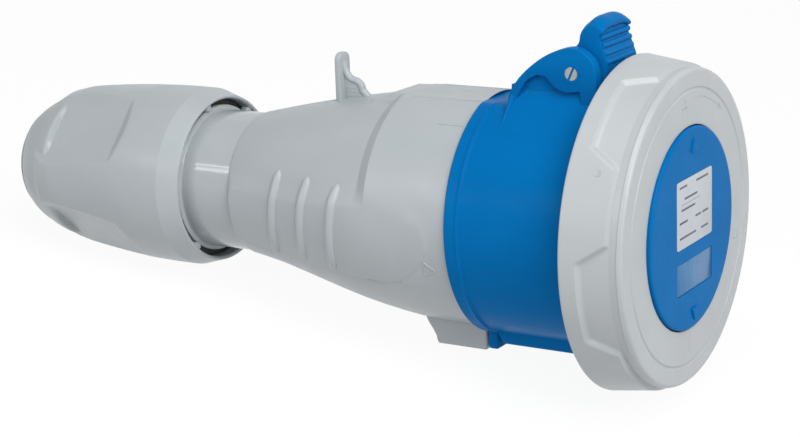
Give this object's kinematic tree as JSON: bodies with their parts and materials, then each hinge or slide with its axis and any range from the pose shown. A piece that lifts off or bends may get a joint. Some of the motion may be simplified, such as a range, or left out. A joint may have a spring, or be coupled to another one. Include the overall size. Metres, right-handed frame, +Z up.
{
  "type": "pin and sleeve connector",
  "caption": "Cable-mounted socket of a round industrial plug system: blue shroud with hinged lid and turning bayonet ring, grey grip handle and screwed cable gland.",
  "frame": {"origin": "centre of the bounding box's underside, on the table it rests on", "axes": "+X towards the lid, along the table; +Z up; the connector's own axis rises 7.35 degrees towards the lid, because the part rests on its ring, foot and nut"},
  "size_m": [0.239, 0.0972, 0.1095],
  "materials": {
    "grey_plastic": "satin moulded",
    "pale_grey_plastic": "satin moulded",
    "blue_plastic": "semi-gloss moulded",
    "dark_plastic": "satin moulded",
    "white_plastic": "satin moulded",
    "black_rubber": "matt",
    "white_label": "satin film",
    "blue_window": "clear-coated",
    "steel": "zinc plated",
    "brass": "turned, nickel flash"
  },
  "bodies": {
    "socket": {"handle": "grey_plastic", "shroud": "blue_plastic", "body_seal": "black_rubber", "lock_screw": "steel", "contact_carrier": "dark_plastic", "terminal_plate": "dark_plastic", "plate_screws": "steel", "terminal_screws": "steel", "hinge_pin": "steel", "pin_clip": "steel", "lid_spring": "steel", "clamp_cage": "dark_plastic", "cable_seal": "black_rubber", "neck_seal": "black_rubber", "line_contact": "brass", "neutral_contact": "brass", "earth_contact": "brass"},
    "lid": {"lid": "blue_plastic", "lid_gasket": "black_rubber", "rating_plate": "white_label", "marking_window": "blue_window"},
    "locking_ring": {"locking_ring": "pale_grey_plastic"},
    "slip_ring": {"slip_ring": "white_plastic"},
    "gland_nut": {"gland_nut": "grey_plastic"}
  },
  "joints": [
    {"name": "lid_hinge", "type": "hinge", "parent": "socket", "child": "lid", "pos_m": [0.07871, 0, 0.09383], "axis": [0, -1, 0], "range_deg": [0, 110]},
    {"name": "ring_turn", "type": "hinge", "parent": "lid", "child": "locking_ring", "pos_m": [0.11381, 0, 0.05309], "axis": [-0.9918, 0, -0.1279], "range_deg": [0, 52]},
    {"name": "slip_slide", "type": "slide", "parent": "socket", "child": "slip_ring", "axis": [-0.9918, 0, -0.1279], "range_m": [0, 0.006]},
    {"name": "nut_spin", "type": "hinge", "parent": "slip_ring", "child": "gland_nut", "pos_m": [-0.11757, 0, 0.02325], "axis": [-0.9918, 0, -0.1279], "range_deg": [0, 720]}
  ],
  "couplings": [
    {"joint": "slip_slide", "follows": "nut_spin", "m_per_rad": 0.00047746}
  ]
}
